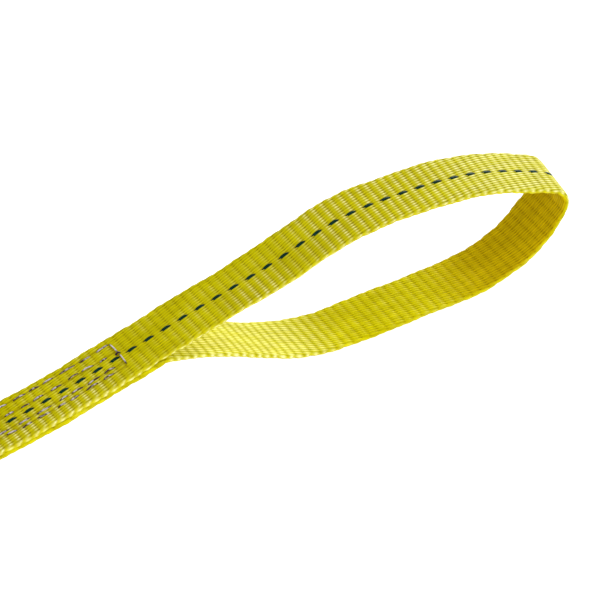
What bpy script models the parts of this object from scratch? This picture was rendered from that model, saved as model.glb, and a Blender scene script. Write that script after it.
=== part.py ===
"""A flat eye-and-eye webbing sling, 25 mm wide, as it lies on a table.

One strip of woven polyester makes the whole sling. At each end it turns back on itself to form a soft eye,
and its tail is lapped under the body and sewn down. The strip lies along X and its width is along Y.
Between the two splices it rests on Z = 0, and so does the lower leg of each eye.

The strip bends wherever it is folded, so it is cut here into stretches, each a solid of its own, which hinge
on axes along Y. End A points along +X, and end B is its mirror image along -X.
Every empty stands on a hinge, and the pieces that turn about that hinge are its children.
"""

import math

import bmesh
import bpy
from mathutils import Vector

MM = 0.001

# Driving dimensions
WIDTH = 25.4 * MM
PLY = 2.5 * MM
BODY_HALF = 68.8 * MM  # from the middle of the sling to the inner end of a splice
TOUCH_GAP = 0.3 * MM  # between pieces that touch
PLY_PITCH = PLY + TOUCH_GAP  # from one ply's centreline to the next

# The tracer yarn lies flush in a shallow channel down the outer face.
CHANNEL_WIDTH = 2.0 * MM
CHANNEL_DEPTH = 0.9 * MM
EDGE_ROUND = 0.8 * MM

# Centreline of one end, in mm: x from the end seam towards the eye, z above the table.
SPLICE_ROUTE = [(-163, 5.3), (-135, 7.8), (-104, 11.3), (-72, 15.9), (-41.2, 21.0), (-21.6, 25.0), (0, 30.2)]
UPPER_ROUTE = [(17.2, 34.5), (36.6, 39.3), (56.1, 43.7), (75.5, 48.7), (94.5, 54.9), (104.2, 57.3), (117, 58.6),
               (136, 58.2), (154, 56.8), (173.6, 52.8), (192.3, 45.6), (201, 40.9)]
CROWN_ROUTE = [(205.8, 36.8), (207.8, 32.6), (207.4, 28.6), (205.2, 24.6)]
LOWER_ROUTE = [(199.4, 16.4), (191.8, 9.8), (182.7, 5.5), (173.2, 2.8), (163.3, 1.4), (153, 1.25), (128, 1.25),
               (103, 1.25), (93.3, 2.2), (83.5, 4.3), (74, 7.4), (64.8, 11.4), (55.9, 15.8), (47.1, 20.2),
               (37.9, 24.1), (28.4, 27.3), (20.8, 29.5), (15.6, 30.7)]  # it ends under the eye hinge
# Centreline of half of the single-ply middle, in mm: x from the centre of the sling.
MIDDLE_ROUTE = [(0, 1.25), (14, 1.25), (28, 1.25), (38, 1.35), (48, 2.0), (58, 3.5), (68.8, 5.3)]

# Stations of the hinges along the centreline, from the end seam
EYE_HINGE = 9 * MM  # the whole eye folds up from here
OPENING_HINGE = 27 * MM  # the upper leg rises from here
UPPER_KNEE = 101 * MM
CROWN_CUT = 223 * MM  # the crease at the tip, where the linkage of the eye is left open
LOWER_KNEE = 294 * MM
KNEE_CLEARANCE = 0.4 * MM  # each stretch stops this far short of a hinge inside its thickness
CROWN_CLEARANCE = 0.9 * MM
TAIL_END = 1.5 * MM  # the tail stops this far short of the splice's inner end

# Sewing
THREAD_RADIUS = 0.4 * MM
ROWS = [9.1 * MM, 3.4 * MM, -3.7 * MM, -6.4 * MM]  # across the strip, far edge first
JOG_SETBACK = 4 * MM  # from the end seam to the jog between the middle rows
INNER_SETBACK = 7 * MM  # from the inner end of the splice to the rows
SEAM_OPENING = 1.6 * MM  # the seam's last stitch stops this far short of its first
THREAD_STEP = 24 * MM

# Identity label, blank, on the upper face of the middle
LABEL_WIDTH = 23 * MM
LABEL_THICKNESS = 0.7 * MM
LABEL_HINGE_X = 26 * MM
LABEL_SEWN = 12 * MM
LABEL_FLAP = 52 * MM
LABEL_THREAD_INSET = 2.5 * MM

# Facet sizes
LONGEST_FACET = 16 * MM
SHORTEST_LAST_FACET = 2.5 * MM
LARGEST_TURN = math.radians(9)
STATION_STEP = 1 * MM  # stations are chosen from places this far apart
FEWEST_STEPS = 12
ROUTE_STEP = 0.25 * MM
TANGENT_REACH = 4 * ROUTE_STEP  # a route's direction is measured over this length to either side

YELLOW = (0.60, 0.56, 0.015, 1)
GREEN = (0.01, 0.07, 0.045, 1)
THREAD_GREY = (0.55, 0.50, 0.55, 1)
LABEL_WHITE = (0.75, 0.76, 0.74, 1)


class Route:
    """A smooth curve through points in the XZ plane, measured by its length."""

    def __init__(self, points_mm, start=0.0):
        knots = [Vector((x * MM, 0, z * MM)) for x, z in points_mm]
        knots = [2 * knots[0] - knots[1]] + knots + [2 * knots[-1] - knots[-2]]
        self.points = [knots[1]]
        for before, first, last, after in zip(knots, knots[1:], knots[2:], knots[3:]):
            count = max(2, round((last - first).length / ROUTE_STEP))
            for i in range(1, count + 1):
                self.points.append(centripetal(before, first, last, after, i / count))
        self.lengths = [start]
        for p, q in zip(self.points, self.points[1:]):
            self.lengths.append(self.lengths[-1] + (q - p).length)

    def index(self, s):
        low = 0
        high = len(self.lengths) - 2
        while low < high:
            half = (low + high + 1) // 2
            if self.lengths[half] <= s:
                low = half
            else:
                high = half - 1
        return low

    def point(self, s):
        """The point at a length; past either end it goes straight on."""
        i = self.index(s)
        share = (s - self.lengths[i]) / (self.lengths[i + 1] - self.lengths[i])
        return self.points[i].lerp(self.points[i + 1], share)

    def along(self, s):
        return (self.point(s + TANGENT_REACH) - self.point(s - TANGENT_REACH)).normalized()

    def outward(self, s):
        """Normal of the outer face: upward while the route runs away from the middle."""
        t = self.along(s)
        return Vector((-t.z, 0, t.x))


def centripetal(p0, p1, p2, p3, share):
    """A point of the centripetal Catmull-Rom curve between p1 and p2."""
    t0 = 0.0
    t1 = t0 + math.sqrt((p1 - p0).length)
    t2 = t1 + math.sqrt((p2 - p1).length)
    t3 = t2 + math.sqrt((p3 - p2).length)
    t = t1 + (t2 - t1) * share
    a1 = p0.lerp(p1, (t - t0) / (t1 - t0))
    a2 = p1.lerp(p2, (t - t1) / (t2 - t1))
    a3 = p2.lerp(p3, (t - t2) / (t3 - t2))
    b1 = a1.lerp(a2, (t - t0) / (t2 - t0))
    b2 = a2.lerp(a3, (t - t1) / (t3 - t1))
    return b1.lerp(b2, (t - t1) / (t2 - t1))


def end_route():
    """The strip of one end, from the splice's inner end round the eye to its hinge; length 0 is at the seam."""
    splice = Route(SPLICE_ROUTE)
    upper = Route(SPLICE_ROUTE + UPPER_ROUTE, start=-splice.lengths[-1])
    under = (upper.point(EYE_HINGE) - upper.outward(EYE_HINGE) * PLY_PITCH) / MM
    points = SPLICE_ROUTE + UPPER_ROUTE + CROWN_ROUTE + LOWER_ROUTE + [(under.x, under.z)]
    return Route(points, start=-splice.lengths[-1])


def stations(route, start, end):
    """Lengths from start to end, close enough together that each facet is short and turns little."""
    count = max(FEWEST_STEPS, round((end - start) / STATION_STEP))
    places = [start + (end - start) * i / count for i in range(count + 1)]
    found = [start]
    for s, following in zip(places[1:], places[2:]):
        turn = route.along(found[-1]).angle(route.along(s))
        if following - found[-1] > LONGEST_FACET or turn > LARGEST_TURN:
            found.append(s)
    if end - found[-1] < SHORTEST_LAST_FACET and len(found) > 1:
        found.pop()
    return found + [end]


def webbing_section():
    """Outline of the strip as (across, outward) pairs: eased edges, and the tracer's channel in the outer face."""
    y = WIDTH / 2
    n = PLY / 2
    r = EDGE_ROUND
    c = CHANNEL_WIDTH / 2
    floor = n - CHANNEL_DEPTH
    half = [(c, floor), (c, n), (y - r, n), (y, n - r), (y, r - n), (y - r, -n)]
    return half + [(-across, out) for across, out in reversed(half)]


def tracer_section():
    """Outline of the tracer yarn, flush with the outer face."""
    y = CHANNEL_WIDTH / 2 - TOUCH_GAP
    top = PLY / 2
    bottom = top - CHANNEL_DEPTH + TOUCH_GAP
    return [(y, bottom), (y, top), (-y, top), (-y, bottom)]


def label_section():
    """Outline of the label, lying on the outer face."""
    y = LABEL_WIDTH / 2
    bottom = PLY / 2 + TOUCH_GAP
    top = bottom + LABEL_THICKNESS
    return [(y, bottom), (y, top), (-y, top), (-y, bottom)]


def material(name, colour, roughness):
    made = bpy.data.materials.new(name)
    made.use_nodes = True
    shader = made.node_tree.nodes["Principled BSDF"]
    shader.inputs["Base Color"].default_value = colour
    shader.inputs["Roughness"].default_value = roughness
    shader.inputs["Metallic"].default_value = 0.0
    made.diffuse_color = colour
    return made


def origin_of(empty):
    """World position of an empty; none of them is rotated."""
    origin = Vector()
    while empty is not None:
        origin += empty.location
        empty = empty.parent
    return origin


def hinge(name, position, parent=None):
    """An empty on a hinge, whose axis is along Y."""
    empty = bpy.data.objects.new(name, None)
    empty.empty_display_size = 5 * MM
    bpy.context.scene.collection.objects.link(empty)
    empty.parent = parent
    empty.location = position - origin_of(parent)
    return empty


def add(name, data, parent, surface):
    """Adds a piece to the scene under the empty that it turns with."""
    obj = bpy.data.objects.new(name, data)
    bpy.context.scene.collection.objects.link(obj)
    data.materials.append(surface)
    obj.parent = parent
    return obj


def sweep(name, frames, section, parent, surface):
    """A closed solid: the section carried along frames, which are (centre, outward normal) pairs."""
    origin = origin_of(parent)
    mesh = bmesh.new()
    rings = []
    for centre, outward in frames:
        ring = []
        for across, out in section:
            ring.append(mesh.verts.new(centre - origin + Vector((0, across, 0)) + outward * out))
        rings.append(ring)
    count = len(section)
    for ring, following in zip(rings, rings[1:]):
        for i in range(count):
            j = (i + 1) % count
            mesh.faces.new((ring[i], ring[j], following[j], following[i]))
    mesh.faces.new(rings[0])
    mesh.faces.new(rings[-1])
    bmesh.ops.recalc_face_normals(mesh, faces=mesh.faces)
    data = bpy.data.meshes.new(name)
    mesh.to_mesh(data)
    mesh.free()
    return add(name, data, parent, surface)


def thread(name, points, parent, surface):
    """A sewing thread laid through points."""
    origin = origin_of(parent)
    curve = bpy.data.curves.new(name, "CURVE")
    curve.dimensions = "3D"
    curve.bevel_depth = THREAD_RADIUS
    curve.bevel_resolution = 1  # six sides
    curve.render_resolution_u = 0
    curve.use_fill_caps = True
    spline = curve.splines.new("POLY")
    spline.points.add(len(points) - 1)
    for slot, point in zip(spline.points, points):
        slot.co = (*(point - origin), 1)
    return add(name, curve, parent, surface)


def mirrored(vector, side):
    return Vector((vector.x * side, vector.y, vector.z))


def frames_along(route, start, end, side, seam_x, below=0.0):
    """Frames of a stretch, set back below the route's outer ply and mirrored onto its end of the sling."""
    frames = []
    for s in stations(route, start, end):
        out = route.outward(s)
        centre = route.point(s) - out * below + Vector((seam_x, 0, 0))
        frames.append((mirrored(centre, side), mirrored(out, side)))
    return frames


def stretch(name, frames, parent, looks):
    """A stretch of webbing with its length of tracer yarn."""
    sweep("webbing_" + name, frames, webbing_section(), parent, looks["webbing"])
    sweep("tracer_" + name, frames, tracer_section(), parent, looks["tracer"])


def splice_thread_path(inner, seam):
    """The rows of one side's thread as (length, across) pairs: up and down the splice, then across its end."""
    path = []
    turns = [seam, inner, inner, seam - JOG_SETBACK, seam - JOG_SETBACK, inner, inner, seam]
    rows = [row for row in ROWS for _ in range(2)]
    for (s0, y0), (s1, y1) in zip(zip(turns, rows), list(zip(turns, rows))[1:]):
        count = max(1, round(abs(s1 - s0) / THREAD_STEP))
        for i in range(count):
            share = i / count
            path.append((s0 + (s1 - s0) * share, y0 + (y1 - y0) * share))
    path.append((seam, ROWS[-1]))
    path.append((seam, ROWS[0] - SEAM_OPENING))
    return path


def splice_thread(name, route, height, parent, looks, side, seam_x):
    """One of the two threads of a splice, at a height over the upper ply's centreline."""
    inner = route.lengths[0] + INNER_SETBACK
    points = []
    for s, across in splice_thread_path(inner, 0.0):
        place = route.point(s) + route.outward(s) * height + Vector((seam_x, across, 0))
        points.append(mirrored(place, side))
    thread(name, points, parent, looks["thread"])


def eye(letter, route, splice_hinge, looks, side, seam_x):
    """The soft eye: a base that stays on the table, and an upper leg and crown that open and close over it."""

    def at(s, height=0.0):
        return mirrored(route.point(s) + route.outward(s) * height + Vector((seam_x, 0, 0)), side)

    def piece(name, start, end, parent):
        stretch(f"eye_{letter}_{name}", frames_along(route, start, end, side, seam_x), parent, looks)

    seam_face = TOUCH_GAP / 2
    base = hinge(f"eye_{letter}_swing", at(EYE_HINGE, PLY / 2), splice_hinge)
    upper = hinge(f"eye_{letter}_opening", at(OPENING_HINGE), base)
    upper_crown = hinge(f"eye_{letter}_upper_knee", at(UPPER_KNEE), upper)
    lower_crown = hinge(f"eye_{letter}_lower_knee", at(LOWER_KNEE), base)
    piece("root", EYE_HINGE + seam_face, OPENING_HINGE - KNEE_CLEARANCE, base)
    piece("upper_leg", OPENING_HINGE + KNEE_CLEARANCE, UPPER_KNEE - KNEE_CLEARANCE, upper)
    piece("upper_crown", UPPER_KNEE + KNEE_CLEARANCE, CROWN_CUT - CROWN_CLEARANCE, upper_crown)
    piece("lower_crown", CROWN_CUT + CROWN_CLEARANCE, LOWER_KNEE - KNEE_CLEARANCE, lower_crown)
    piece("lower_leg", LOWER_KNEE + KNEE_CLEARANCE, route.lengths[-1] - seam_face, base)


def end(letter, side, looks):
    """One end of the sling: a two-ply sewn splice, and the eye that folds up from it."""
    route = end_route()
    inner = route.lengths[0]
    seam_x = BODY_HALF - SPLICE_ROUTE[0][0] * MM
    corner = route.point(inner) + route.outward(inner) * PLY / 2 + Vector((seam_x, 0, 0))
    fold = hinge(f"fold_{letter}", mirrored(corner, side))
    last = EYE_HINGE - TOUCH_GAP / 2
    upper = frames_along(route, inner + TOUCH_GAP / 2, last, side, seam_x)
    tail = frames_along(route, inner + TAIL_END, last, side, seam_x, below=PLY_PITCH)
    stretch(f"splice_{letter}", upper, fold, looks)
    tail = [(centre, -out) for centre, out in tail]
    stretch(f"tail_{letter}", tail, fold, looks)
    clear = TOUCH_GAP + THREAD_RADIUS
    splice_thread(f"top_thread_{letter}", route, PLY / 2 + clear, fold, looks, side, seam_x)
    splice_thread(f"bobbin_thread_{letter}", route, -PLY / 2 - PLY_PITCH - clear, fold, looks, side, seam_x)
    eye(letter, route, fold, looks, side, seam_x)


def middle(looks):
    """The single-ply middle, which rests on the table and steps up onto the splices."""
    half = Route(MIDDLE_ROUTE)
    reach = half.lengths[-1] - TOUCH_GAP / 2
    out = [(half.point(s), half.outward(s)) for s in stations(half, 0.0, reach)]
    back = [(mirrored(centre, -1), mirrored(normal, -1)) for centre, normal in reversed(out[1:])]
    stretch("middle", back + out, None, looks)


def label(looks):
    """A blank identity label: one end is sewn to the middle, and the rest is a flap that lifts."""
    half = Route(MIDDLE_ROUTE)
    height = half.point(0).z
    up = Vector((0, 0, 1))
    flap_hinge = hinge("label_lift", Vector((LABEL_HINGE_X, 0, height + PLY / 2 + TOUCH_GAP + LABEL_THICKNESS)))

    def frames(start, end):
        return [(Vector((x, 0, height)), up) for x in (start, end)]

    gap = TOUCH_GAP / 2
    sewn = frames(LABEL_HINGE_X + gap, LABEL_HINGE_X + LABEL_SEWN)
    flap = frames(LABEL_HINGE_X - LABEL_FLAP, LABEL_HINGE_X - gap)
    sweep("label_sewn_end", sewn, label_section(), None, looks["label"])
    sweep("label_flap", flap, label_section(), flap_hinge, looks["label"])
    near = LABEL_HINGE_X + LABEL_THREAD_INSET
    far = LABEL_HINGE_X + LABEL_SEWN - LABEL_THREAD_INSET
    edge = LABEL_WIDTH / 2 - LABEL_THREAD_INSET
    top = height + PLY / 2 + 2 * TOUCH_GAP + LABEL_THICKNESS + THREAD_RADIUS
    corners = [(near, -edge), (near, edge), (far, edge), (far, SEAM_OPENING - edge)]
    thread("label_thread", [Vector((x, y, top)) for x, y in corners], None, looks["thread"])


def clear_scene():
    for obj in list(bpy.data.objects):
        bpy.data.objects.remove(obj, do_unlink=True)


def main():
    clear_scene()
    looks = {
        "webbing": material("yellow_webbing", YELLOW, 0.6),
        "tracer": material("green_tracer_yarn", GREEN, 0.6),
        "thread": material("sewing_thread", THREAD_GREY, 0.5),
        "label": material("label_film", LABEL_WHITE, 0.45),
    }
    middle(looks)
    label(looks)
    end("a", 1, looks)
    end("b", -1, looks)


main()
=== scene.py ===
"""Looks of the eye-and-eye webbing sling: the woven strip, its tracer yarn, the stitching and the label.

One strip of webbing makes the whole sling. It is made here as two mirrored halves, one for each end. A place
on a half is given by its station and by how far it is across the strip. The station is the length along the
centreline from the end seam, positive towards the eye. Across is positive on the far side. Each half is cut
into short pieces, and each of them crosses at most one joint.
"""

import math
import random

import bpy
import numpy as np
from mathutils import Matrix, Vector


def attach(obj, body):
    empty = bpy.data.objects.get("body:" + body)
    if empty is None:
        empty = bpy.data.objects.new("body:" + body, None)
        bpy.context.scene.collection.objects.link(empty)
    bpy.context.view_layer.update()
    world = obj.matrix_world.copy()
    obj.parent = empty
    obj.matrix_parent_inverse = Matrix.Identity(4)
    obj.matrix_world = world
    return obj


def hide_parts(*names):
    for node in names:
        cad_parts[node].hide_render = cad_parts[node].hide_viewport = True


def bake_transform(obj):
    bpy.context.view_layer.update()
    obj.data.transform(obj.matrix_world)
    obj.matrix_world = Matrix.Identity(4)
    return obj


MM = 0.001  # lengths are in millimetres, unless their comment says metres

# The strip, as the CAD model has it. A route's points are x and height, with x from the end seam, and in
# MIDDLE_ROUTE from the middle of the sling.
WIDTH = 25.4
PLY = 2.5
PLY_PITCH = 2.8
BODY_HALF = 68.8  # from the middle of the sling to the inner end of a splice
MIDDLE_ROUTE = [(0, 1.25), (14, 1.25), (28, 1.25), (38, 1.35), (48, 2.0), (58, 3.5)]
SPLICE_ROUTE = [(-163, 5.3), (-135, 7.8), (-104, 11.3), (-72, 15.9), (-41.2, 21.0), (-21.6, 25.0),
                (0, 30.2)]
UPPER_ROUTE = [(17.2, 34.5), (36.6, 39.3), (56.1, 43.7), (75.5, 48.7), (94.5, 54.9), (104.2, 57.3),
               (117, 58.6), (136, 58.2), (154, 56.8), (173.6, 52.8), (192.3, 45.6), (201, 40.9)]
CROWN_ROUTE = [(205.8, 36.8), (207.8, 32.6), (207.4, 28.6), (205.2, 24.6)]
LOWER_ROUTE = [(199.4, 16.4), (191.8, 9.8), (182.7, 5.5), (173.2, 2.8), (163.3, 1.4), (153, 1.25),
               (128, 1.25), (103, 1.25), (93.3, 2.2), (83.5, 4.3), (74, 7.4), (64.8, 11.4), (55.9, 15.8),
               (47.1, 20.2), (37.9, 24.1), (28.4, 27.3), (20.8, 29.5), (15.6, 30.7)]
SEAM_X = BODY_HALF - SPLICE_ROUTE[0][0]
ROUTE_STEP = 0.25
NORMAL_REACH = 4 * ROUTE_STEP  # the strip's direction is taken over this length to either side
TAIL_GAP = 1.5  # the tail stops this far short of the splice's inner end

# Stations of the hinges, and how far to either side of each the webbing bends
EYE_HINGE = 9
OPENING_HINGE = 27
UPPER_KNEE = 101
LOWER_KNEE = 294
FOLD_REACH = 7
EYE_REACH = 8
OPENING_REACH = 9
KNEE_REACH = 16

# Stations where two pieces meet, away from the hinges
SPLICE_CUT = -82
ROOT_CUT = 18
UPPER_LEG_CUT = 60
CROWN_CUT = 223  # the crease of the crown, where the closed loop of the eye is open
LOWER_LEG_CUT = 330

# Weave: warp yarns run along the strip and float over every other weft rib.
YARN = 0.668
RIB = 8.315 / 2
RIB_PHASE = 5.91  # station of a rib that the tracer floats over
FLOAT_HALF_LENGTH = 2.65
FLOAT_HALF_WIDTH = 0.75
NO_WIDTH = 0.001  # of a float at its very ends
FLOAT_SLANT = 0.14
RELIEF = 0.47  # from the top of a float down to the gaps between them
PRESSED_STEEPNESS = 1.6  # the tracer presses the weave flat where it floats over it
PRESSED_BIAS = 1.25
# Flecks are pale highlights painted on the floats and on the selvedges' beads
FLECK_SHIFT = 1.1  # from the middle of a float to the middle of its fleck, a highlight painted on its crest
FLECK_LENGTH = 0.7
FLECK_GROWTH = 0.8
FLECK_WIDTH = 0.3
FLECK_LEAST = 0.55  # the faintest fleck, as a share of the brightest
FLECK_SCATTER = (12.9898, 78.233)  # angles per rib and per yarn, so that neighbouring flecks look random
FACE_YARNS = 18  # yarns from the middle to either edge
POINTS_PER_YARN = 3
ROWS_PER_RIB = 8
LAPPED_SWELL = 0.17  # the plies of a splice are pressed together: each fills half the space between them
LAPPED_FLATTENING = 0.6
FACE_APART = 40.0  # keeps the patterns of the two faces and the two ends from being the same
END_APART = 100.0

# Selvedges
EDGE_POINTS = 5
EDGE_SMOOTHING = 0.6  # the share of its relief that the weave loses round the edge
EDGE_BEAD = 0.3  # how far a weft rib stands out where it turns back
BEAD_FLECK_SHARPNESS = 6
BEAD_FLECK = 0.3  # how strongly a bead's painted highlight shows where the strip isn't painted as lit
EDGE_TAPER = 3.2  # the webbing thins over this width towards either selvedge
EDGE_THINNING = 0.35
EDGE_WANDER = 0.4
WANDER_WAVES = [(41.0, 0.5), (19.0, 0.3), (9.1, 0.2)]  # lengths, and their shares of the height
FAR_EDGE_SEED = 1.7
NEAR_EDGE_SEED = 4.1
WANDER_FADE = 4  # the wander fades from the edge to the middle of the strip with this power
EDGE_SETTLED = 30  # the halves' edges wander differently, and are straight where they meet in the middle

# Painted light and shade, and the melted end
PAINTED_LIT_SLOPE = 0.3  # a face that slopes this much towards the tip of the eye is painted as lit all over
GLINTS_FROM = 80  # the outer face shows painted highlights from here to the crown
GLINTS_FULLY = 104
EDGE_GLINTS = 64  # and its near half round this station too
EDGE_GLINTS_REACH = 16
EDGE_GLINTS_SPREAD = 0.3  # past the middle of the strip, as a share of its half width
SPLICE_GLINTS = 14  # and along the splice, fully from this far inside its end seam
INNER_SHADE_STATION = 240  # the inner face is painted darker round this station, as shade within the eye's crown
INNER_SHADE_REACH = 42
INNER_SHADE_EVENNESS = 4
SEALED_LENGTH = 1.2  # of the tail's end, melted where it was cut

# Tracer yarn
TRACER_HALF_WIDTH = 0.8
TRACER_HALF_HEIGHT = 0.4
TRACER_RISE = 0.2  # of the dashes over the webbing's face
TRACER_DIP = 0.85  # from the top of a dash down to the yarn between two dashes
TRACER_STEEPNESS = 1.0
TRACER_BIAS = 0.35  # the dashes are longer than the gaps between them
TRACER_SIDES = 10
TRACER_WAIST = 0.5  # its width where it dives, as a share of its full width
TRACER_FULLNESS = 0.75  # how fast it widens from there
TRACER_NARROWEST = 0.2  # under the weave, as a share of its full width
TRACER_SWAY = 0.12

# The upper leg is rolled a little, so that its far edge stands higher. At the crown the far edge reaches
# further out than the near one.
ROLL = math.radians(5.5)
ROLL_STATIONS = (50, 95, 195, 232)  # where it starts, is full, is full still, and has ended
CROWN_BULGE = 1.6
CROWN_SKEW = 1.8
CROWN_PEAK = 220
CROWN_REACH = 11
KNUCKLE = PLY / 2  # both pieces end round at the crease of the crown, so that it can bend without a crack
KNUCKLE_TURN = math.radians(72)
KNUCKLE_ROWS = 6

# Sewing
STITCH_ROWS = [9.1, 3.4, -3.7, -6.4]
STITCH_RADIUS = 0.29
STITCH_SIDES = 7
STITCH_STEPS = 9
STITCH_LENGTHS = (4, 9)
STITCH_GAPS = (0.4, 3.2)  # where the thread is drawn into the webbing between two stitches
STITCH_STRAY = 0.45  # how far a hole or the middle of a stitch strays from its row
STITCH_DIVE = 1.0  # the holes' depth, as the thread's centreline goes
TOP_LOFT = 0.1  # height of a stitch's middle over the webbing's crests
STITCH_FULLNESS = 0.5  # power of the sine that a stitch's arch follows
STITCH_DENT = 0.8  # the share of their height that the weave's crests lose under a row of sewing
STITCH_DENT_WIDTH = 0.5
THREAD_UPRIGHT = (0.0, 0.3, 1.0)  # no stitch runs in this direction
SEAM_STATIONS = (0.5, 0.8, 0.3)  # of the three holes of the end seam
SEAM_BOW = 0.1
SEAM_LOFT = 0.5
SEAM_NEAR_END = -5.6  # across, where the stitches of the end seam stop
# two short turns at the seam's middle hole: a knot of thread painted dark all along as the shadowed hole
KNOT_HALF_LENGTH = 1.3
KNOT_SPREAD = 0.25
SEAM_SETBACKS = (-SEAM_STATIONS[0], 4, 4, 6)  # how far inside the end seam each row starts
INNER_SETBACK = 7  # and how far from the splice's inner end it stops

# Label
LABEL_WIDTH = 23
LABEL_THICKNESS = 0.5
LABEL_HINGE_X = 26
LABEL_SEWN = 12  # the length of its sewn end
LABEL_FLAP = 52  # and of its free one
LABEL_BASE = PLY + 0.3
LABEL_ROWS = 90
LABEL_SIDES = 96
LABEL_SQUARENESS = 0.22  # power that makes its cross-section nearly a rectangle
LABEL_CORNER = 2.5
LABEL_CURL = 2.2
LABEL_CUP = 0.5
LABEL_INSET = 2.5  # of its sewing from its edges
LABEL_STITCH = 2.6
LABEL_THREAD_RADIUS = 0.22
LABEL_THREAD_DIVE = 0.5
LABEL_THREAD_RISE = 0.75
FRAME_INSET = 1.5  # a plain printed line round the label
FRAME_WIDTH = 0.5

# Meshes
SHARP_ANGLE = math.radians(75)
TINY = 1e-6

# Colours, in linear RGB. A tint multiplies the colour under it.
BLACK = (0.0, 0.0, 0.0)
WHITE = (1.0, 1.0, 1.0)
# The weave by the height of its floats: painted shade makes the gaps darkest and the flanks darker
SHADED_WEAVE_GAP = (0.36, 0.29, 0.001)
HALF_SHADED_WEAVE_FLANK = (0.51, 0.44, 0.001)
WEAVE_CREST = (0.63, 0.58, 0.002)
YARN_TINTS = ((0.84, 0.84, 0.84), (1.10, 1.10, 1.10))
PATCH_TINTS = ((0.93, 0.91, 0.85), (1.06, 1.06, 1.10))
# painted light on the slopes painted as lit
PAINTED_LIT_TINT = (0.99, 1.04, 1.0)
INNER_PAINTED_LIGHT_TINT = (1.15, 1.16, 1.0)  # painted light: the inner face is painted lighter than the outer one
# painted shade within the eye's crown, on its inner face
INNER_SHADE_TINT = (1.0, 0.80, 0.5)
# painted highlight on the floats' crests
PAINTED_GLINT_COLOUR = (1.0, 0.96, 0.44)
GLINT_PATCH_MOST = (0.3, 0.3, 0.3)  # the most that the strip's painted highlights show in patches where it isn't painted as lit
SEALED = (0.32, 0.22, 0.01)
TRACER_COLOURS = ((0.0005, 0.011, 0.004), (0.001, 0.062, 0.038))
THREAD_COLOURS = ((0.42, 0.34, 0.42), (0.78, 0.74, 0.80))
# dark brown spots along the sewn rows
THREAD_DARK_SPOT = (0.07, 0.03, 0.02)
# painted shade where the thread goes into its holes
THREAD_HOLE_SHADE = (0.05, 0.02, 0.02)
LABEL_COLOURS = ((0.66, 0.67, 0.64), (0.82, 0.83, 0.81))
LABEL_EDGE_TINT = (0.80, 0.80, 0.77)
LABEL_INK = (0.03, 0.09, 0.22)
FLOOR_COLOURS = ((0.40, 0.40, 0.40), (0.42, 0.42, 0.42))

# Camera: it looks at a place given from the end seam, from a distance in metres
VIEW_TARGET = (86.1, 0.0, 23.6)
VIEW_FORWARD = (0.4062, 0.6561, -0.6362)
VIEW_DISTANCE = 3.333
VIEW_LENS = 486.6
VIEW_SENSOR = 36
VIEW_CLIP_END = 100  # metres

# Light: the surroundings light the sling, are mirrored in it, and are seen behind it at different strengths
WORLD_STRENGTH = 0.42
WORLD_REFLECTED = 0.08
WORLD_SEEN = 1.0
LIGHT_DISTANCE = 5.0  # metres
SOFT_BOXES = [  # the direction towards each, its width in metres and its power in watts
    ("key_soft_box", (0.74, 0.62, 0.27), 2.4, 240),
    ("top_soft_box", (-0.25, -0.1, 0.96), 3.0, 60),
    ("front_fill", (-0.1, -0.9, 0.4), 3.0, 110),
]
FLOOR_GLOW = 1.0
FLOOR_DROP = 0.2  # under the sling, so that the two don't touch
FLOOR_HALF = 6.0  # metres


def centripetal(p0, p1, p2, p3, share):
    """A point of the centripetal Catmull-Rom curve between p1 and p2."""
    t0 = 0.0
    t1 = t0 + math.sqrt((p1 - p0).length)
    t2 = t1 + math.sqrt((p2 - p1).length)
    t3 = t2 + math.sqrt((p3 - p2).length)
    t = t1 + (t2 - t1) * share
    a1 = p0.lerp(p1, (t - t0) / (t1 - t0))
    a2 = p1.lerp(p2, (t - t1) / (t2 - t1))
    a3 = p2.lerp(p3, (t - t2) / (t3 - t2))
    b1 = a1.lerp(a2, (t - t0) / (t2 - t0))
    b2 = a2.lerp(a3, (t - t1) / (t3 - t1))
    return b1.lerp(b2, (t - t1) / (t2 - t1))


def smooth_points(route):
    """Points about ROUTE_STEP apart on a smooth curve through a route in the XZ plane."""
    knots = [Vector((x, z)) for x, z in route]
    knots = [2 * knots[0] - knots[1]] + knots + [2 * knots[-1] - knots[-2]]
    points = [knots[1]]
    for before, first, last, after in zip(knots, knots[1:], knots[2:], knots[3:]):
        count = max(2, round((last - first).length / ROUTE_STEP))
        points += [centripetal(before, first, last, after, i / count) for i in range(1, count + 1)]
    return np.array(points)


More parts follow.
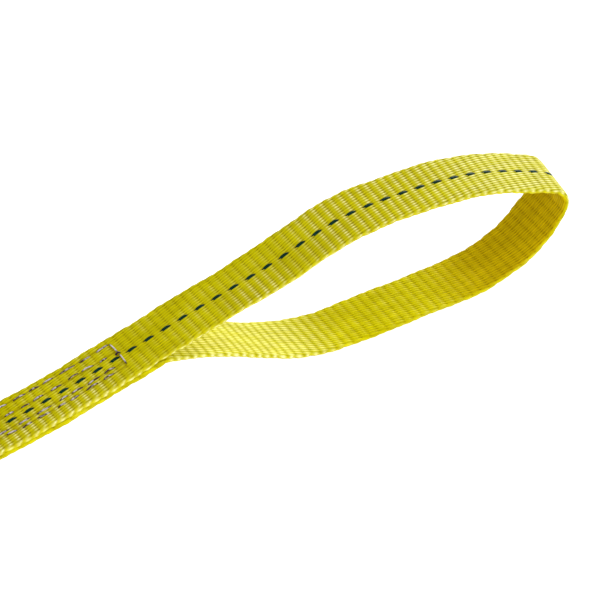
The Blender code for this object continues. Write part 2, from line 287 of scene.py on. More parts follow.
class Strip:
    """Half of the webbing, from the middle of the sling out round one eye and back under the splice.

    It runs from station start to station end. The tail begins at station eye_end, straight under the eye's
    hinge, and the splice begins at station fold. Slack is what the ribs are moved by at station start.
    """

    def __init__(self):
        middle = [(x - SEAM_X, z) for x, z in MIDDLE_ROUTE]
        out = middle + SPLICE_ROUTE + UPPER_ROUTE
        self.follow(smooth_points(out))
        seam = self.station_at(0)
        self.lengths = self.lengths - seam
        under = self.below(np.array([EYE_HINGE]))[0]
        outer = smooth_points(out + CROWN_ROUTE + LOWER_ROUTE + [tuple(under)])
        inner = self.station_at(SPLICE_ROUTE[0][0]) + TAIL_GAP
        tail = self.below(np.arange(EYE_HINGE - ROUTE_STEP, inner, -ROUTE_STEP))
        self.follow(np.vstack([outer, tail]))
        self.start = -seam
        self.lengths = self.lengths - seam
        self.end = self.lengths[-1]
        self.eye_end = self.end - (EYE_HINGE - inner)
        self.fold = inner - TAIL_GAP
        self.slack = RIB_PHASE + RIB * round((self.start - RIB_PHASE) / RIB) - self.start

    def follow(self, points):
        """Takes points as the centreline, and works out the station of each, from the first one."""
        self.points = points
        self.lengths = np.concatenate([[0], np.cumsum(np.linalg.norm(np.diff(points, axis=0), axis=1))])

    def station_at(self, x):
        """Station of the upper ply at x from the seam."""
        return float(np.interp(x, self.points[:, 0], self.lengths))

    def point(self, s):
        """The centreline's x and z at each station."""
        return np.stack([np.interp(s, self.lengths, self.points[:, i]) for i in (0, 1)], axis=-1)

    def outward(self, s):
        """Normal of the face that carries the tracer."""
        ahead = self.point(np.minimum(s + NORMAL_REACH, self.lengths[-1]))
        behind = self.point(np.maximum(s - NORMAL_REACH, self.lengths[0]))
        along = ahead - behind
        along /= np.linalg.norm(along, axis=-1, keepdims=True)
        return np.stack([-along[..., 1], along[..., 0]], axis=-1)

    def woven(self, s):
        """Stations in the weave: its ribs are shifted a little in the middle, where the two halves meet."""
        return s + self.slack * np.clip((self.fold - s) / (self.fold - self.start), 0, 1)

    def below(self, s):
        """The tail's centreline, under the upper ply."""
        return self.point(s) - self.outward(s) * PLY_PITCH

    def place(self, s, across, height, side):
        """World points in metres, given across the strip and outward from its centreline."""
        s, across, height = np.broadcast_arrays(s, across, height)
        centre = self.point(s)
        normal = self.outward(s)
        roll = ROLL * np.interp(s, ROLL_STATIONS, (0, 1, 1, 0))
        farness = 0.5 + across / WIDTH
        reach_out = (CROWN_BULGE + CROWN_SKEW * farness) * np.exp(-(((s - CROWN_PEAK) / CROWN_REACH) ** 2))
        up = height * np.cos(roll) + across * np.sin(roll) + reach_out
        y = across * np.cos(roll) - height * np.sin(roll)
        x = (centre[..., 0] + SEAM_X + normal[..., 0] * up) * side
        z = centre[..., 1] + normal[..., 1] * up
        return np.stack([x, y, z], axis=-1) * MM


def weave(s, across, inner, downhill, painted_lit):
    """How high the floats stand at each point, from 0 in a gap to 1 on a crest, and the highlights painted
    on them.

    A painted highlight lies on the half of a float that faces the tip of the eye, which downhill says for
    each station.
    Where the strip is painted as lit, it grows to the whole crest.
    """
    shift_of_fleck = FLECK_SHIFT * downhill * (1 - painted_lit)
    length_of_fleck = FLECK_LENGTH + FLECK_GROWTH * painted_lit
    shift = np.where(inner, RIB, 0.0)
    rib = np.round((s - RIB_PHASE - shift) / RIB)
    yarn = np.round(across / YARN)
    crest = np.zeros(np.broadcast(s, across).shape)
    painted_glint = crest.copy()
    for over in (-1, 0, 1):
        for beside in (-1, 0, 1):
            along = s - RIB_PHASE - shift - (rib + over) * RIB
            aside = across - (yarn + beside) * YARN - FLOAT_SLANT * along
            up = (rib + over + yarn + beside) % 2 == 0
            from_middle = np.minimum(np.abs(along) / FLOAT_HALF_LENGTH, 1)
            half_width = FLOAT_HALF_WIDTH * np.sqrt(1 - from_middle ** 2) + NO_WIDTH
            from_ridge = np.minimum(np.abs(aside) / half_width, 1)
            height = np.sqrt((1 - from_middle ** 4) * (1 - from_ridge ** 2))
            crest = np.maximum(crest, np.where(up, height, 0))
            from_fleck = ((along - shift_of_fleck) / length_of_fleck) ** 2 + (aside / FLECK_WIDTH) ** 2
            scattered = (rib + over) * FLECK_SCATTER[0] + (yarn + beside) * FLECK_SCATTER[1]
            glint_strength = FLECK_LEAST + (1 - FLECK_LEAST) * np.sin(scattered) ** 2
            painted_glint = np.maximum(painted_glint, np.where(up, glint_strength * np.exp(-from_fleck), 0))
    pressed = np.clip(PRESSED_STEEPNESS * np.cos(math.pi * (s - RIB_PHASE) / RIB) + PRESSED_BIAS, 0, 1)
    under_tracer = pressed * (~inner & (yarn == 0))
    return crest * (1 - under_tracer), painted_glint * (1 - under_tracer)


def wander(s, seed):
    """A slow, irregular wave along the strip."""
    return sum(share * np.sin(2 * math.pi * s / length + seed * number)
               for number, (length, share) in enumerate(WANDER_WAVES, start=1))


def ring_outline():
    """The strip's cross-section: across, outward, whether on the inner face, and how far round the edge."""
    reach = FACE_YARNS * POINTS_PER_YARN
    flat = np.arange(-reach, reach + 1) * YARN / POINTS_PER_YARN
    edge = flat[-1]
    turn = np.linspace(0, math.pi, EDGE_POINTS + 2)[1:-1]
    bulge = (WIDTH / 2 - edge) * np.sin(turn)
    drop = PLY / 2 * np.cos(turn)
    ones = np.ones(len(flat))
    across = np.concatenate([flat, edge + bulge, flat[::-1], -edge - bulge])
    out = np.concatenate([ones * PLY / 2, drop, -ones * PLY / 2, -drop])
    inner = np.concatenate([ones * 0, drop < 0, ones, drop > 0]).astype(bool)
    round_edge = np.concatenate([ones * 0, np.sin(turn), ones * 0, np.sin(turn)])
    return across[None], out[None], inner[None], round_edge[None]


def grid_mesh(name, points, attributes, flip=False):
    """Closed tubes from an array of tubes, rows, ring points and xyz, with a fan of triangles on each end.

    Attributes are arrays of the same tubes, rows and ring points. Flip turns the faces of a mirrored mesh.
    """
    tubes, rows, count = points.shape[:3]
    size = rows * count
    index = np.arange(tubes * size).reshape(tubes, rows, count)
    following = np.roll(index, -1, axis=2)
    corners_of_quads = [index[:, :-1], following[:, :-1], following[:, 1:], index[:, 1:]]
    quads = np.stack(corners_of_quads, axis=-1).reshape(-1, 4)
    first = np.repeat(tubes * size + np.arange(tubes)[:, None], count, axis=1)
    cap_start = np.stack([first, following[:, 0], index[:, 0]], axis=-1).reshape(-1, 3)
    cap_end = np.stack([first + tubes, index[:, -1], following[:, -1]], axis=-1).reshape(-1, 3)
    caps = np.vstack([cap_start, cap_end])
    if flip:
        quads = quads[:, ::-1]
        caps = caps[:, ::-1]
    corners = np.concatenate([quads.ravel(), caps.ravel()]).astype(np.int32)
    sizes = np.concatenate([np.full(len(quads), 4), np.full(len(caps), 3)])
    mesh = bpy.data.meshes.new(name)
    places = with_cap_centres(points)
    mesh.vertices.add(len(places))
    mesh.vertices.foreach_set("co", places.ravel())
    mesh.loops.add(len(corners))
    mesh.loops.foreach_set("vertex_index", corners)
    mesh.polygons.add(len(sizes))
    mesh.polygons.foreach_set("loop_start", (np.cumsum(sizes) - sizes).astype(np.int32))
    mesh.update(calc_edges=True)
    for key, values in attributes.items():
        kind, field = ("FLOAT_VECTOR", "vector") if values.ndim == 4 else ("FLOAT", "value")
        layer = mesh.attributes.new(key, kind, "POINT")
        layer.data.foreach_set(field, with_cap_centres(values.reshape(tubes, rows, count, -1)).ravel())
    mesh.shade_smooth()
    mesh.set_sharp_from_angle(angle=SHARP_ANGLE)
    return mesh


def with_cap_centres(values):
    """One row per vertex: every ring point, then the middle of each tube's first ring and of its last."""
    width = values.shape[-1]
    flat = values.reshape(-1, width)
    return np.vstack([flat, values[:, 0].mean(axis=1), values[:, -1].mean(axis=1)]).astype(np.float32)


def add(name, mesh, material):
    """Puts a mesh into the scene as a piece, with its material."""
    piece = bpy.data.objects.new(name, mesh)
    bpy.context.scene.collection.objects.link(piece)
    mesh.materials.append(material)
    return piece


def rows_of_piece(start, end):
    """A column of a piece's stations, with a few more past the crown's crease if it ends there."""
    count = max(2, round((end - start) / (RIB / ROWS_PER_RIB)))
    rows = np.linspace(start, end, count + 1)
    past = KNUCKLE * np.sin(np.linspace(0, KNUCKLE_TURN, KNUCKLE_ROWS + 1)[1:])
    if start == CROWN_CUT:
        rows = np.concatenate([start - past[::-1], rows])
    if end == CROWN_CUT:
        rows = np.concatenate([rows, end + past])
    return rows[:, None]


def knuckle(s, start, end):
    """The share of its thickness that a piece keeps at each station: it ends round at the crown's crease."""
    past = np.maximum(start - s, s - end)
    return np.sqrt(1 - np.clip(past / KNUCKLE, 0, 1) ** 2)


def stitch_dents(strip, s, across):
    """How far the sewing pulls the weave in, from 0 to 1, along the rows and across the end seam."""
    on_splice = (s < 0) & (s > strip.fold + INNER_SETBACK) | (s > strip.eye_end + EYE_HINGE)
    dent = 0.0
    for row in STITCH_ROWS:
        dent = np.maximum(dent, np.exp(-(((across - row) / STITCH_DENT_WIDTH) ** 2)) * on_splice)
    under_seam = (across < STITCH_ROWS[0]) & (across > SEAM_NEAR_END)
    return np.maximum(dent, np.exp(-((s / STITCH_DENT_WIDTH) ** 2)) * under_seam)


def wavy_edges(strip, s, across, round_edge, side):
    """Distances across with the weft's beads along both selvedges, and with the selvedges' slow wander."""
    bead = EDGE_BEAD * round_edge * np.cos(math.pi * (strip.woven(s) - RIB_PHASE) / RIB) ** 2
    edge = np.sign(across) * (np.abs(across) / (WIDTH / 2)) ** WANDER_FADE
    from_middle = np.clip((s - strip.start) / EDGE_SETTLED, 0, 1)
    wave = np.where(across > 0, wander(s, FAR_EDGE_SEED + side), wander(s, NEAR_EDGE_SEED - side))
    return across + np.sign(across) * bead + EDGE_WANDER * from_middle * edge * wave


def woven_height(strip, s, across, out, inner, round_edge, crest):
    """Heights outward from the centreline, with the weave's relief and the thinner selvedges."""
    lapped = inner * ((s > strip.fold) & (s < EYE_HINGE) | (s > strip.eye_end))
    relief = RELIEF * (1 - crest) * (1 - EDGE_SMOOTHING * round_edge) * (1 - LAPPED_FLATTENING * lapped)
    from_edge = np.clip((np.abs(across) - WIDTH / 2) / EDGE_TAPER + 1, 0, 1)
    thinned = np.sqrt(1 - EDGE_THINNING * from_edge ** 2 * (1 - lapped))
    swollen = 1 + LAPPED_SWELL / (PLY / 2) * lapped
    return out * (thinned * swollen - relief / (PLY / 2))


def sealing_and_painted_light(strip, s, across, inner, round_edge, painted_lit):
    """Masks from 0 to 1: the slopes painted as lit, the sealed end, painted shade on the inner face round
    the crown, the inner face painted lighter elsewhere, and how strongly painted highlights show.
    """
    # painted shade on the inner face, round the crown of the eye
    inner_shade = inner * (1 - round_edge) * np.exp(-(((s - INNER_SHADE_STATION) / INNER_SHADE_REACH) ** INNER_SHADE_EVENNESS))
    # where the outer face shows painted highlights: round a station of its near half, along the splice, and
    # from the upper leg to the crown
    on_leg = np.exp(-(((s - EDGE_GLINTS) / EDGE_GLINTS_REACH) ** 2))
    along_splice = np.clip(-s / SPLICE_GLINTS, 0, 1)
    near_half = np.clip(EDGE_GLINTS_SPREAD - 2 * across / WIDTH, 0, 1)
    edge_glints = near_half * np.maximum(on_leg, along_splice)
    crown_glints = (s < CROWN_CUT) * np.clip((s - GLINTS_FROM) / (GLINTS_FULLY - GLINTS_FROM), 0, 1)
    outer_glints = ~inner * np.maximum(edge_glints, crown_glints)
    sealed = np.clip(1 - (strip.end - s) / SEALED_LENGTH, 0, 1)
    return {
        "painted_lit": painted_lit,
        "sealed": np.broadcast_to(sealed, painted_lit.shape),
        "inner_shade": inner_shade,
        # painted light: the inner face lighter, away from its round edges and its painted shade
        "inner_painted_light": inner * (1 - round_edge) * (1 - inner_shade),
        "glint_strength": np.maximum(painted_lit, outer_glints),
    }


def strap_piece(name, strip, start, end, side, material):
    """A stretch of the woven strip."""
    across, out, inner, round_edge = ring_outline()
    s = rows_of_piece(start, end)
    woven = strip.woven(s)
    normal = strip.outward(s)
    # painted light: faces that slope towards the tip of the eye are painted as lit
    painted_lit = np.clip(np.where(inner, -1, 1) * normal[..., 0] / PAINTED_LIT_SLOPE, 0, 1)
    crest, painted_glint = weave(woven, across, inner, np.sign(normal[..., 1]), painted_lit)
    crest *= 1 - STITCH_DENT * stitch_dents(strip, s, across)
    # painted highlights on the tops of the selvedges' beads
    bead_top = round_edge * np.cos(math.pi * (woven - RIB_PHASE) / RIB) ** BEAD_FLECK_SHARPNESS
    painted_glint = np.maximum(painted_glint, bead_top * (BEAD_FLECK + (1 - BEAD_FLECK) * painted_lit))
    wide = wavy_edges(strip, s, across, round_edge, side)
    high = woven_height(strip, s, across, out, inner, round_edge, crest) * knuckle(s, start, end)
    layer = np.where(inner, FACE_APART, 0.0) + END_APART * side
    attributes = sealing_and_painted_light(strip, s, across, inner, round_edge, painted_lit)
    attributes["weave"] = np.stack(np.broadcast_arrays(s, wide, layer), axis=-1)
    attributes["crest"] = crest
    # the painted highlights are kept off the painted shade
    attributes["painted_glint"] = painted_glint * (1 - attributes["inner_shade"])
    attributes = {key: values[None] for key, values in attributes.items()}
    points = strip.place(s, wide, high, side)
    return add(name, grid_mesh(name, points[None], attributes, side < 0), material)


def tracer_piece(name, strip, start, end, side, material):
    """The tracer yarn of the same stretch: it floats over every other rib and dives between them."""
    turn = np.arange(TRACER_SIDES) / TRACER_SIDES * 2 * math.pi
    s = rows_of_piece(start, end)
    phase = math.pi * (strip.woven(s) - RIB_PHASE) / RIB
    swing = np.cos(phase)
    highest = math.tanh(TRACER_STEEPNESS * (1 + TRACER_BIAS))
    lift = 0.5 + 0.5 * np.tanh(TRACER_STEEPNESS * (swing + TRACER_BIAS)) / highest
    crest = PLY / 2 + TRACER_RISE - TRACER_HALF_HEIGHT - TRACER_DIP * (1 - lift)
    half = TRACER_HALF_WIDTH * np.clip(TRACER_WAIST + TRACER_FULLNESS * swing, TRACER_NARROWEST, 1)
    across = half * np.sin(turn)[None] + TRACER_SWAY * np.sin(phase)
    high = (crest + TRACER_HALF_HEIGHT * np.cos(turn)[None]) * knuckle(s, start, end)
    points = strip.place(s, across, high, side)
    coordinates = np.stack(np.broadcast_arrays(s, across, high), axis=-1)
    mesh = grid_mesh(name, points[None], {"weave": coordinates[None]}, side < 0)
    return add(name, mesh, material)


def tubes_along(paths, radius, sides):
    """Rings of round tubes along paths, an array of tubes, points and xyz in metres."""
    along = np.gradient(paths, axis=1)
    along /= np.linalg.norm(along, axis=2, keepdims=True)
    beside = np.cross(along, np.array(THREAD_UPRIGHT))
    beside /= np.linalg.norm(beside, axis=2, keepdims=True)
    above = np.cross(beside, along)
    turn = (np.arange(sides) / sides * 2 * math.pi)[:, None]
    circle = beside[:, :, None] * np.cos(turn) + above[:, :, None] * np.sin(turn)
    return paths[:, :, None] + radius * circle


def stitch_arch():
    """Shares of the way along a stitch, and how high the thread stands there, from 0 in a hole to 1."""
    t = np.linspace(0, 1, STITCH_STEPS)
    return t, np.sin(math.pi * t) ** STITCH_FULLNESS


def thread_coordinates(shape, t, number):
    """Coordinates of a thread's points: along its stitch, round the thread, and the stitch's number."""
    run = np.broadcast_to(t[None, :, None] * STITCH_STEPS, shape)
    around = np.broadcast_to(np.arange(shape[2])[None, None], shape)
    return np.stack([run, around, np.broadcast_to(number, shape)], axis=-1)


def splice_stitches(strip, draw):
    """Stitches of one side of a splice, as (station, across) of each one's two holes and how far it bows."""
    found = []
    inner = strip.fold + INNER_SETBACK
    for row, setback in zip(STITCH_ROWS, SEAM_SETBACKS):
        s = -setback
        across = row
        while s > inner + STITCH_LENGTHS[0]:
            following = max(inner, s - draw.uniform(*STITCH_LENGTHS))
            aside = row + draw.uniform(-STITCH_STRAY, STITCH_STRAY)
            found.append((s, across, following, aside, draw.uniform(-STITCH_STRAY, STITCH_STRAY)))
            s = following - draw.uniform(*STITCH_GAPS)
            across = aside
    return found


def seam_stitches():
    """The two long stitches across a splice's end, and two short turns between them that stand for the
    shadowed hole where the stitches meet.
    """
    first, second, third = SEAM_STATIONS
    far = STITCH_ROWS[0]
    half = (far + SEAM_NEAR_END) / 2
    seam = [(first, far, second, half, SEAM_BOW), (second, half, third, SEAM_NEAR_END, -SEAM_BOW)]
    before = first + KNOT_HALF_LENGTH
    after = first - KNOT_HALF_LENGTH
    shaded_knot = [(before, half, after, half + shift, 0) for shift in (-KNOT_SPREAD, KNOT_SPREAD)]
    return seam, shaded_knot


def thread_piece(name, strip, side, stitches, shaded_knot, station_of, loft, spotted, material):
    """Thread: each stitch rises out of one hole and dives into the next, painted with shade where it goes
    into a hole. The short turns given last are painted with that shade all along, for the shadowed hole in
    the end seam.
    """
    t, rise = stitch_arch()
    paths = []
    for s0, across0, s1, across1, bow in stitches + shaded_knot:
        s = station_of(s0 + (s1 - s0) * t)
        across = across0 + (across1 - across0) * t + bow * rise
        height = PLY / 2 - STITCH_DIVE + (STITCH_DIVE + loft) * rise
        paths.append(strip.place(s, across, height, side))
    # painted shade: 1 where the thread is in a hole, 0 at the top of a stitch, and 1 all along the short
    # turns given last
    shade = [1 - rise] * len(stitches) + [np.ones(STITCH_STEPS)] * len(shaded_knot)
    points = tubes_along(np.array(paths), STITCH_RADIUS * MM, STITCH_SIDES)
    shape = points.shape[:3]
    attributes = {
        "weave": thread_coordinates(shape, t, np.arange(shape[0])[:, None, None]),
        "hole_shade": np.broadcast_to(np.array(shade)[:, :, None], shape),
        "dark_spotted": np.full(shape, float(spotted)),
    }
    return add(name, grid_mesh(name, points, attributes), material)


def label_piece(material):
    """The blank label: its sewn end lies on the webbing, and its free end curls up a little."""
    start = LABEL_HINGE_X + LABEL_SEWN
    x = np.linspace(start, LABEL_HINGE_X - LABEL_FLAP, LABEL_ROWS)[:, None]
    turn = np.linspace(0, 2 * math.pi, LABEL_SIDES, endpoint=False)[None]
    across = np.sign(np.cos(turn)) * np.abs(np.cos(turn)) ** LABEL_SQUARENESS
    across[np.abs(np.cos(turn)) < TINY] = 0
    out = np.sin(turn)
    from_end = np.minimum(start - x, x - (LABEL_HINGE_X - LABEL_FLAP))
    corner = np.clip(1 - from_end / LABEL_CORNER, 0, 1)
    half = LABEL_WIDTH / 2 - LABEL_CORNER * (1 - np.sqrt(1 - corner ** 2))
    free = np.clip((LABEL_HINGE_X - x) / LABEL_FLAP, 0, 1)
    wave = LABEL_CURL * free ** 2 + LABEL_CUP * free * (across ** 2 - 0.5) + LABEL_CUP * free
    height = LABEL_BASE + LABEL_THICKNESS / 2 * (1 + out) + wave
    points = np.stack(np.broadcast_arrays(x, half * across, height), axis=-1) * MM
    coordinates = np.stack(np.broadcast_arrays(x, half * across, out), axis=-1)
    border = np.minimum(LABEL_WIDTH / 2 - np.abs(half * across), from_end)
    mesh = grid_mesh("label", points[None], {"weave": coordinates[None], "border": border[None]})
    return add("label", mesh, material)


def label_stitches(material):
    """A short run of stitches round three sides of the label's sewn end."""
    near = LABEL_HINGE_X + LABEL_INSET
    far = LABEL_HINGE_X + LABEL_SEWN - LABEL_INSET
    edge = LABEL_WIDTH / 2 - LABEL_INSET
    corners = [(near, -edge), (near, edge), (far, edge), (far, -edge)]
    holes = []
    for (x0, y0), (x1, y1) in zip(corners, corners[1:]):
        count = round((abs(x1 - x0) + abs(y1 - y0)) / LABEL_STITCH)
        holes += [(x0 + (x1 - x0) * i / count, y0 + (y1 - y0) * i / count) for i in range(count)]
    holes.append(corners[-1])
    t, rise = stitch_arch()
    height = LABEL_BASE + LABEL_THICKNESS - LABEL_THREAD_DIVE + LABEL_THREAD_RISE * rise
    paths = []
    for (x0, y0), (x1, y1) in zip(holes, holes[1:]):
        paths.append(np.stack([x0 + (x1 - x0) * t, y0 + (y1 - y0) * t, height], axis=-1) * MM)
    points = tubes_along(np.array(paths), LABEL_THREAD_RADIUS * MM, STITCH_SIDES)
    shape = points.shape[:3]
    # painted shade where the thread goes into the label
    hole_shade = np.broadcast_to((1 - rise)[None, :, None], shape)
    mesh = grid_mesh("label_stitches", points, {"weave": thread_coordinates(shape, t, 0), "hole_shade": hole_shade})
    return add("label_stitches", mesh, material)


def feed(tree, socket, value):
    """Links another node's output to a socket, or sets the socket's own value."""
    if isinstance(value, bpy.types.NodeSocket):
        tree.links.new(value, socket)
    else:
        socket.default_value = value


class Shading:
    """A material whose Principled shader is fed by a few chained nodes."""

    def __init__(self, name, roughness, specular):
        self.material = bpy.data.materials.new(name)
        self.material.use_nodes = True
        self.tree = self.material.node_tree
        self.shader = self.tree.nodes["Principled BSDF"]
        self.shader.inputs["Roughness"].default_value = roughness
        self.shader.inputs["Specular IOR Level"].default_value = specular

    def node(self, kind, **inputs):
        """A new node, with its inputs set or linked by name."""
        made = self.tree.nodes.new(kind)
        for name, value in inputs.items():
            self.connect(made.inputs[name.replace("_", " ")], value)
        return made

    def connect(self, socket, value):
        feed(self.tree, socket, value)

    def attribute(self, name, output="Fac"):
        made = self.tree.nodes.new("ShaderNodeAttribute")
        made.attribute_name = name
        return made.outputs[output]

    def calculate(self, operation, *values):
        """The result of a math node."""
        made = self.tree.nodes.new("ShaderNodeMath")
        made.operation = operation
        for socket, value in zip(made.inputs, values):
            self.connect(socket, value)
        return made.outputs["Value"]

    def stretched(self, scale):
        """The weave coordinates, scaled along, across and through."""
        made = self.tree.nodes.new("ShaderNodeVectorMath")
        made.operation = "MULTIPLY"
        self.connect(made.inputs[0], self.attribute("weave", "Vector"))
        self.connect(made.inputs[1], scale)
        return made.outputs["Vector"]

    def noise(self, scale, detail=2.0):
        """Noise that is finer along, across or through the weave where its scale is greater."""
        made = self.node("ShaderNodeTexNoise", Vector=self.stretched(scale), Scale=1.0, Detail=detail)
        return made.outputs["Fac"]

    def ramp(self, value, *stops):
        """A colour for each value, from stops of a position and its colour."""
        made = self.tree.nodes.new("ShaderNodeValToRGB")
        while len(made.color_ramp.elements) < len(stops):
            made.color_ramp.elements.new(0.5)
        for element, (position, colour) in zip(made.color_ramp.elements, stops):
            element.position = position
            element.color = (*colour, 1)
        self.connect(made.inputs["Fac"], value)
        return made.outputs["Color"]

    def mix(self, factor, a, b, mode="MIX"):
        """Colour a blended with colour b, as far as factor says."""
        made = self.tree.nodes.new("ShaderNodeMix")
        made.data_type = "RGBA"
        made.blend_type = mode
        self.connect(made.inputs["Factor"], factor)
        for socket, value in zip([i for i in made.inputs if i.type == "RGBA"], (a, b)):
            self.connect(socket, value if isinstance(value, bpy.types.NodeSocket) else (*value, 1))
        return [o for o in made.outputs if o.type == "RGBA"][0]

    def finish(self, colour, bump=None, strength=0.0, distance=0.0):
        """The finished material, with its colour and with a bump of a height in millimetres."""
        self.connect(self.shader.inputs["Base Color"], colour)
        if bump is not None:
            made = self.node("ShaderNodeBump", Height=bump, Strength=strength, Distance=distance * MM)
            self.connect(self.shader.inputs["Normal"], made.outputs["Normal"])
        return self.material


def webbing_material():
    look = Shading("woven_yellow_polyester", roughness=0.33, specular=0.015)
    # painted shade: the gaps between the floats darker than their crests
    base = look.ramp(look.attribute("crest"), (0.0, SHADED_WEAVE_GAP), (0.5, HALF_SHADED_WEAVE_FLANK), (1.0, WEAVE_CREST))
    yarns = look.ramp(look.noise((0.11, 1.5, 1.0), detail=1.0), (0.3, YARN_TINTS[0]), (0.7, YARN_TINTS[1]))
    base = look.mix(1.0, base, yarns, "MULTIPLY")
    patches = look.ramp(look.noise((0.045, 0.09, 1.0)), (0.35, PATCH_TINTS[0]), (0.65, PATCH_TINTS[1]))
    base = look.mix(1.0, base, patches, "MULTIPLY")
    # painted light on the slopes that face the tip of the eye
    base = look.mix(look.attribute("painted_lit"), base, PAINTED_LIT_TINT, "MULTIPLY")
    # painted highlights on the floats, in random patches and in the zones where they show
    glint_patches = look.ramp(look.noise((0.045, 0.12, 1.0)), (0.44, BLACK), (0.65, GLINT_PATCH_MOST))
    glint_strength = look.calculate("MAXIMUM", glint_patches, look.attribute("glint_strength"))
    base = look.mix(look.calculate("MULTIPLY", look.attribute("painted_glint"), glint_strength), base, PAINTED_GLINT_COLOUR)
    # painted light: the inner face lighter
    base = look.mix(look.attribute("inner_painted_light"), base, INNER_PAINTED_LIGHT_TINT, "MULTIPLY")
    # painted shade within the eye's crown
    base = look.mix(look.attribute("inner_shade"), base, INNER_SHADE_TINT, "MULTIPLY")
    base = look.mix(look.attribute("sealed"), base, SEALED)
    filaments = look.noise((0.7, 9.0, 1.0), detail=3.0)
    return look.finish(base, filaments, strength=0.35, distance=0.12)


def tracer_material():
    look = Shading("green_tracer_yarn", roughness=0.5, specular=0.1)
    dark, light = TRACER_COLOURS
    base = look.ramp(look.noise((0.6, 7.0, 1.0)), (0.3, dark), (0.75, light))
    return look.finish(base, look.noise((0.8, 14.0, 1.0)), strength=0.4, distance=0.1)


def thread_material():
    look = Shading("lilac_grey_sewing_thread", roughness=0.45, specular=0.3)
    dark, light = THREAD_COLOURS
    base = look.ramp(look.noise((1.3, 1.6, 3.1)), (0.3, dark), (0.7, light))
    spots = look.ramp(look.noise((0.35, 0.2, 5.3)), (0.47, BLACK), (0.58, WHITE))
    # dark brown spots along the sewn rows
    base = look.mix(look.calculate("MULTIPLY", spots, look.attribute("dark_spotted")), base, THREAD_DARK_SPOT)
    # painted shade where the thread goes into its holes
    in_hole_shade = look.ramp(look.attribute("hole_shade"), (0.1, BLACK), (0.4, WHITE))
    base = look.mix(in_hole_shade, base, THREAD_HOLE_SHADE)
    return look.finish(base, look.noise((2.2, 1.0, 1.0)), strength=0.5, distance=0.15)


def label_material():
    look = Shading("blank_label_film", roughness=0.38, specular=0.5)
    soiled, clean = LABEL_COLOURS
    base = look.ramp(look.noise((0.07, 0.11, 1.0), detail=4.0), (0.3, soiled), (0.7, clean))
    border = look.attribute("border")
    edge = look.ramp(look.calculate("MULTIPLY", border, 0.5), (0.1, LABEL_EDGE_TINT), (0.5, WHITE))
    base = look.mix(1.0, base, edge, "MULTIPLY")
    off_line = look.calculate("ABSOLUTE", look.calculate("SUBTRACT", border, FRAME_INSET))
    ink = look.ramp(look.calculate("DIVIDE", off_line, FRAME_WIDTH), (0.4, WHITE), (0.6, BLACK))
    base = look.mix(ink, base, LABEL_INK)
    return look.finish(base, look.noise((5.0, 0.6, 1.0)), strength=0.2, distance=0.05)


def floor_material():
    look = Shading("white_light_table", roughness=0.8, specular=0.1)
    look.shader.inputs["Emission Color"].default_value = (*WHITE, 1)
    look.shader.inputs["Emission Strength"].default_value = FLOOR_GLOW
    grain = look.node("ShaderNodeTexNoise", Scale=40.0, Detail=3.0).outputs["Fac"]
    return look.finish(look.ramp(grain, (0.3, FLOOR_COLOURS[0]), (0.7, FLOOR_COLOURS[1])))


def floor():
    """The light table, a hair below the sling."""
    mesh = bpy.data.meshes.new("floor")
    corners = [(-1, -1), (1, -1), (1, 1), (-1, 1)]
    places = [(x * FLOOR_HALF, y * FLOOR_HALF, FLOOR_DROP * -MM) for x, y in corners]
    mesh.from_pydata(places, [], [(0, 1, 2, 3)])
    mesh.materials.append(floor_material())
    made = bpy.data.objects.new("floor", mesh)
    bpy.context.scene.collection.objects.link(made)


def soft_light(name, towards, size, power):
    """A square soft box that shines on the middle of the eye from a direction."""
    data = bpy.data.lights.new(name, "AREA")
    data.size = size
    data.energy = power
    made = bpy.data.objects.new(name, data)
    bpy.context.scene.collection.objects.link(made)
    direction = Vector(towards).normalized()
    made.location = Vector(((SEAM_X + VIEW_TARGET[0]) * MM, 0, 0)) + direction * LIGHT_DISTANCE
    made.rotation_mode = "QUATERNION"
    made.rotation_quaternion = direction.to_track_quat("Z", "Y")


def lights():
    """White surroundings and three soft boxes."""
    world = bpy.data.worlds.new("studio")
    world.use_nodes = True
    tree = world.node_tree
    background = tree.nodes["Background"]
    background.inputs["Color"].default_value = (*WHITE, 1)
    path = tree.nodes.new("ShaderNodeLightPath")
    strength = WORLD_STRENGTH
    for kind, other in (("Is Glossy Ray", WORLD_REFLECTED), ("Is Camera Ray", WORLD_SEEN)):
        choice = tree.nodes.new("ShaderNodeMix")
        feed(tree, choice.inputs["Factor"], path.outputs[kind])
        feed(tree, choice.inputs["A"], strength)
        feed(tree, choice.inputs["B"], other)
        strength = choice.outputs["Result"]
    feed(tree, background.inputs["Strength"], strength)
    bpy.context.scene.world = world
    for name, towards, size, power in SOFT_BOXES:
        soft_light(name, towards, size, power)
    bpy.context.scene.view_settings.view_transform = "Standard"


def camera():
    """A long lens that looks down on the eye, as in the photo."""
    data = bpy.data.cameras.new("camera")
    data.type = "PERSP"
    data.lens = VIEW_LENS
    data.sensor_width = VIEW_SENSOR
    data.clip_end = VIEW_CLIP_END
    made = bpy.data.objects.new("camera", data)
    bpy.context.scene.collection.objects.link(made)
    x, y, z = VIEW_TARGET
    forward = Vector(VIEW_FORWARD).normalized()
    made.location = Vector((SEAM_X + x, y, z)) * MM - forward * VIEW_DISTANCE
    made.rotation_mode = "QUATERNION"
    made.rotation_quaternion = forward.to_track_quat("-Z", "Y")
    bpy.context.scene.camera = made


def across_joint(piece, strip, side, hinge, reach):
    """Bakes a piece's place into its mesh. The points a reach to either side of the hinge's station are
    worked out, but not used.
    """
    ends = [Vector(strip.place(hinge + shift, 0, 0, side)) for shift in (-reach, reach)]
    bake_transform(piece)


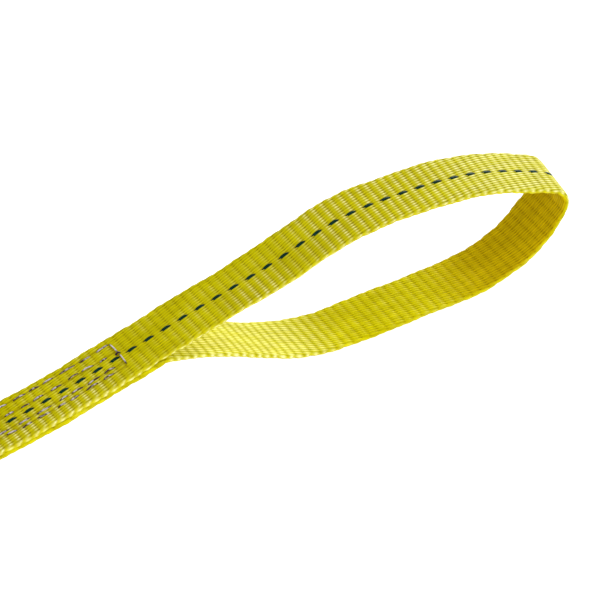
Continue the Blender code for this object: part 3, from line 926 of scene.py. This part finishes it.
def strap_pieces(strip, side, letter, looks):
    """Every stretch of one end, from the middle of the sling to the tail's end.

    Each has its name, its first and last stations, the CAD nodes it stands for, the bodies it lies in or
    between, and the station and reach of the hinge between them, if it crosses one.
    """
    splice = f"splice_{letter}"
    base = f"eye_{letter}_base"
    upper_leg = f"eye_{letter}_upper_leg"
    upper_crown = f"eye_{letter}_upper_crown"
    lower_crown = f"eye_{letter}_lower_crown"
    root = f"eye_{letter}_root"
    lower_leg = f"eye_{letter}_lower_leg"
    under_cut = strip.eye_end + EYE_HINGE - SPLICE_CUT
    stretches = [
        ("fold", strip.start, SPLICE_CUT, ["middle"],
         ("middle", splice), strip.fold, FOLD_REACH),
        ("splice", SPLICE_CUT, ROOT_CUT, [splice, root],
         (splice, base), EYE_HINGE, EYE_REACH),
        ("upper_leg", ROOT_CUT, UPPER_LEG_CUT, [upper_leg],
         (base, upper_leg), OPENING_HINGE, OPENING_REACH),
        ("upper_crown", UPPER_LEG_CUT, CROWN_CUT, [upper_crown],
         (upper_leg, upper_crown), UPPER_KNEE, KNEE_REACH),
        ("lower_crown", CROWN_CUT, LOWER_LEG_CUT, [lower_crown],
         (lower_crown, base), LOWER_KNEE, KNEE_REACH),
        ("lower_leg", LOWER_LEG_CUT, under_cut, [lower_leg],
         (base, splice), strip.eye_end, EYE_REACH),
        ("tail", under_cut, strip.end, [f"tail_{letter}"],
         (splice,), None, None),
    ]
    for name, start, end, nodes, bodies, hinge, reach in stretches:
        strap = strap_piece(f"strap_{name}_{letter}", strip, start, end, side, looks["webbing"])
        yarn = tracer_piece(f"tracer_yarn_{name}_{letter}", strip, start, end, side, looks["tracer"])
        for piece, prefix in ((strap, "webbing_"), (yarn, "tracer_")):
            if hinge is None:
                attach(piece, *bodies)
            else:
                across_joint(piece, strip, side, hinge, reach)
            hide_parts(*[prefix + node for node in nodes])


def sewing(strip, side, letter, looks):
    """The top and bobbin threads of one splice."""
    rows = splice_stitches(strip, random.Random(f"stitches {letter}"))
    seam, shaded_knot = seam_stitches()

    def above(s):
        return s

    def under(s):
        return strip.eye_end + EYE_HINGE - s

    threads = [  # name, stitches, short turns shaded all along, where they are, height over the crests, whether spotted dark, and CAD node
        ("top_stitches_", rows, [], above, TOP_LOFT, True, "top_thread_"),
        ("seam_stitches_", seam, shaded_knot, above, SEAM_LOFT, False, "top_thread_"),
        ("bobbin_stitches_", rows + seam, shaded_knot, under, TOP_LOFT, True, "bobbin_thread_"),
    ]
    for name, stitches, turns, station_of, loft, spotted, node in threads:
        piece = thread_piece(name + letter, strip, side, stitches, turns, station_of, loft, spotted,
                             looks["thread"])
        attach(piece, f"splice_{letter}")
        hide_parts(node + letter)


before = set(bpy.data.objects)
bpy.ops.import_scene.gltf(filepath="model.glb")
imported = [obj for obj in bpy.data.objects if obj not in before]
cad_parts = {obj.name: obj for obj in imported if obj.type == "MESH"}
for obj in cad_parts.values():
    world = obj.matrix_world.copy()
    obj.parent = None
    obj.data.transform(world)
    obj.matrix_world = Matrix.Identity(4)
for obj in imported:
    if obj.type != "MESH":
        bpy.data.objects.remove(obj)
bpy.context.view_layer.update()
camera()
looks = {
    "webbing": webbing_material(),
    "tracer": tracer_material(),
    "thread": thread_material(),
    "label": label_material(),
}
strip = Strip()
for letter, side in (("a", 1), ("b", -1)):
    strap_pieces(strip, side, letter, looks)
    sewing(strip, side, letter, looks)

label = label_piece(looks["label"])
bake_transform(label)
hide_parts("label_sewn_end", "label_flap")
stitching = label_stitches(looks["thread"])
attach(stitching, "middle")
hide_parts("label_thread")

floor()
lights()
